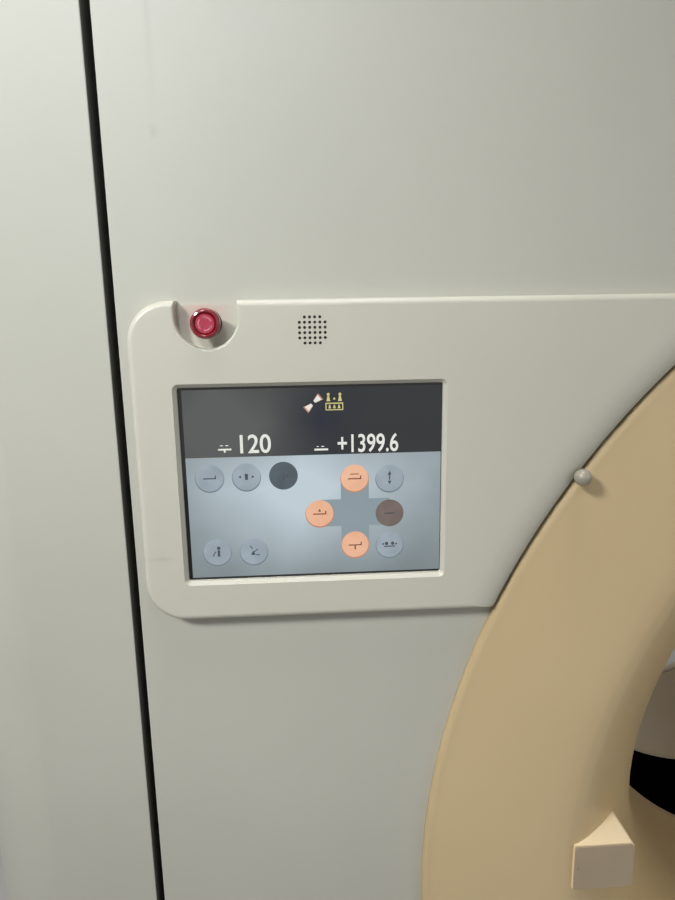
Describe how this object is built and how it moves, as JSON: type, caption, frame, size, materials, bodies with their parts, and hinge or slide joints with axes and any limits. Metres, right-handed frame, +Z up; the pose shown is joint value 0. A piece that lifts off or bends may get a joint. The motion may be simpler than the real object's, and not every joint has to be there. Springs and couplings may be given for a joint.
{
  "type": "ct scanner",
  "caption": "Tilting scanner gantry: tall moulded housing round a wide tunnel, with a spinning X-ray rotor, side pillars, touch panels and stop buttons.",
  "frame": {"origin": "on the floor, under the middle of the tunnel and in the scan plane", "axes": "+Z up, +X to the right seen from the front, -Y out of the front face; the tunnel runs along Y"},
  "size_m": [2.24, 1.0503, 1.9],
  "materials": {
    "cover_shell": "satin",
    "panel_shell": "satin",
    "ring_shell": "satin",
    "window_band": "gloss",
    "trim_grey": "satin",
    "touch_glass": "gloss",
    "display_unit": "satin",
    "switch_black": "satin",
    "stop_red": "gloss",
    "knob_white": "satin",
    "speaker_dark": "matte",
    "laser_shell": "satin",
    "laser_plate": "satin",
    "laser_body": "satin",
    "frame_paint": "satin",
    "post_steel": "satin",
    "bush_bronze": "satin",
    "gland_steel": "satin",
    "motor_paint": "satin",
    "belt_rubber": "matte",
    "brush_holder": "matte",
    "fan_plastic": "satin",
    "rotor_alloy": "satin",
    "slip_tracks": "satin",
    "tube_paint": "satin",
    "collimator_metal": "matte",
    "unit_paint": "satin",
    "detector_alloy": "satin"
  },
  "bodies": {
    "stand": {"floor_plate": "frame_paint", "pillar_left": "frame_paint", "pillar_right": "frame_paint", "tilt_bearing_left": "bush_bronze", "tilt_bearing_right": "bush_bronze", "pillar_cover_left": "cover_shell", "pillar_cover_right": "cover_shell", "base_cover_front": "cover_shell", "base_cover_rear": "cover_shell", "gland_plate": "gland_steel", "tilt_motor": "motor_paint"},
    "pinion": {"tilt_pinion": "post_steel"},
    "gantry": {"gantry_frame": "frame_paint", "cover_posts": "post_steel", "trunnion_left": "post_steel", "trunnion_right": "post_steel", "tilt_sector": "post_steel", "bearing_outer_ring": "post_steel", "front_cover": "cover_shell", "rear_cover": "cover_shell", "top_cover": "cover_shell", "side_cover_left": "cover_shell", "side_cover_right": "cover_shell", "bottom_cover": "cover_shell", "front_ring": "ring_shell", "rear_ring": "ring_shell", "tunnel_rear": "ring_shell", "scan_window": "window_band", "window_trims": "trim_grey", "panel_left": "panel_shell", "panel_right": "panel_shell", "display_left": "display_unit", "display_right": "display_unit", "touch_glass_left": "touch_glass", "touch_glass_right": "touch_glass", "stop_base_left": "switch_black", "stop_base_right": "switch_black", "speakers": "speaker_dark", "laser_boxes": "laser_shell", "laser_plates": "laser_plate", "laser_modules": "laser_body", "ring_knobs": "knob_white", "drive_motor": "motor_paint", "drive_belt": "belt_rubber", "brush_block": "brush_holder", "fan_frames": "fan_plastic"},
    "rotor": {"rotor_drum": "rotor_alloy", "bearing_inner_ring": "post_steel", "slip_ring": "slip_tracks", "xray_tube": "tube_paint", "collimator": "collimator_metal", "rotor_units": "unit_paint", "detector_array": "detector_alloy"},
    "ball_cage": {"bearing_balls": "post_steel", "bearing_cage": "bush_bronze"},
    "pulley": {"drive_pulley": "post_steel"},
    "stop_left": {"stop_button_left": "stop_red"},
    "stop_right": {"stop_button_right": "stop_red"},
    "left_fan": {"fan_left": "fan_plastic"},
    "right_fan": {"fan_right": "fan_plastic"}
  },
  "joints": [
    {"name": "tilt", "type": "hinge", "parent": "stand", "child": "gantry", "pos_m": [0, 0, 1], "axis": [1, 0, 0], "range_deg": [-30, 30]},
    {"name": "pinion_spin", "type": "hinge", "parent": "stand", "child": "pinion", "pos_m": [1.02, 0, 0.628], "axis": [1, 0, 0], "range_deg": [-125.1, 125.1]},
    {"name": "rotor_spin", "type": "hinge", "parent": "gantry", "child": "rotor", "pos_m": [0, 0, 1], "axis": [0, 1, 0], "continuous": true},
    {"name": "ball_cage_spin", "type": "hinge", "parent": "gantry", "child": "ball_cage", "pos_m": [0, 0, 1], "axis": [0, 1, 0], "continuous": true},
    {"name": "pulley_spin", "type": "hinge", "parent": "gantry", "child": "pulley", "pos_m": [-0.78, 0, 0.3], "axis": [0, 1, 0], "continuous": true},
    {"name": "stop_left_press", "type": "slide", "parent": "gantry", "child": "stop_left", "axis": [0, 1, 0], "range_m": [0, 0.004]},
    {"name": "stop_right_press", "type": "slide", "parent": "gantry", "child": "stop_right", "axis": [0, 1, 0], "range_m": [0, 0.004]},
    {"name": "left_fan_spin", "type": "hinge", "parent": "gantry", "child": "left_fan", "pos_m": [-0.5, 0, 1.86], "axis": [0, 0, 1], "continuous": true},
    {"name": "right_fan_spin", "type": "hinge", "parent": "gantry", "child": "right_fan", "pos_m": [0.5, 0, 1.86], "axis": [0, 0, 1], "continuous": true}
  ],
  "couplings": [
    {"joint": "pinion_spin", "follows": "tilt", "ratio": -4.1667},
    {"joint": "ball_cage_spin", "follows": "rotor_spin", "ratio": 0.48763},
    {"joint": "pulley_spin", "follows": "rotor_spin", "ratio": 13.167}
  ]
}
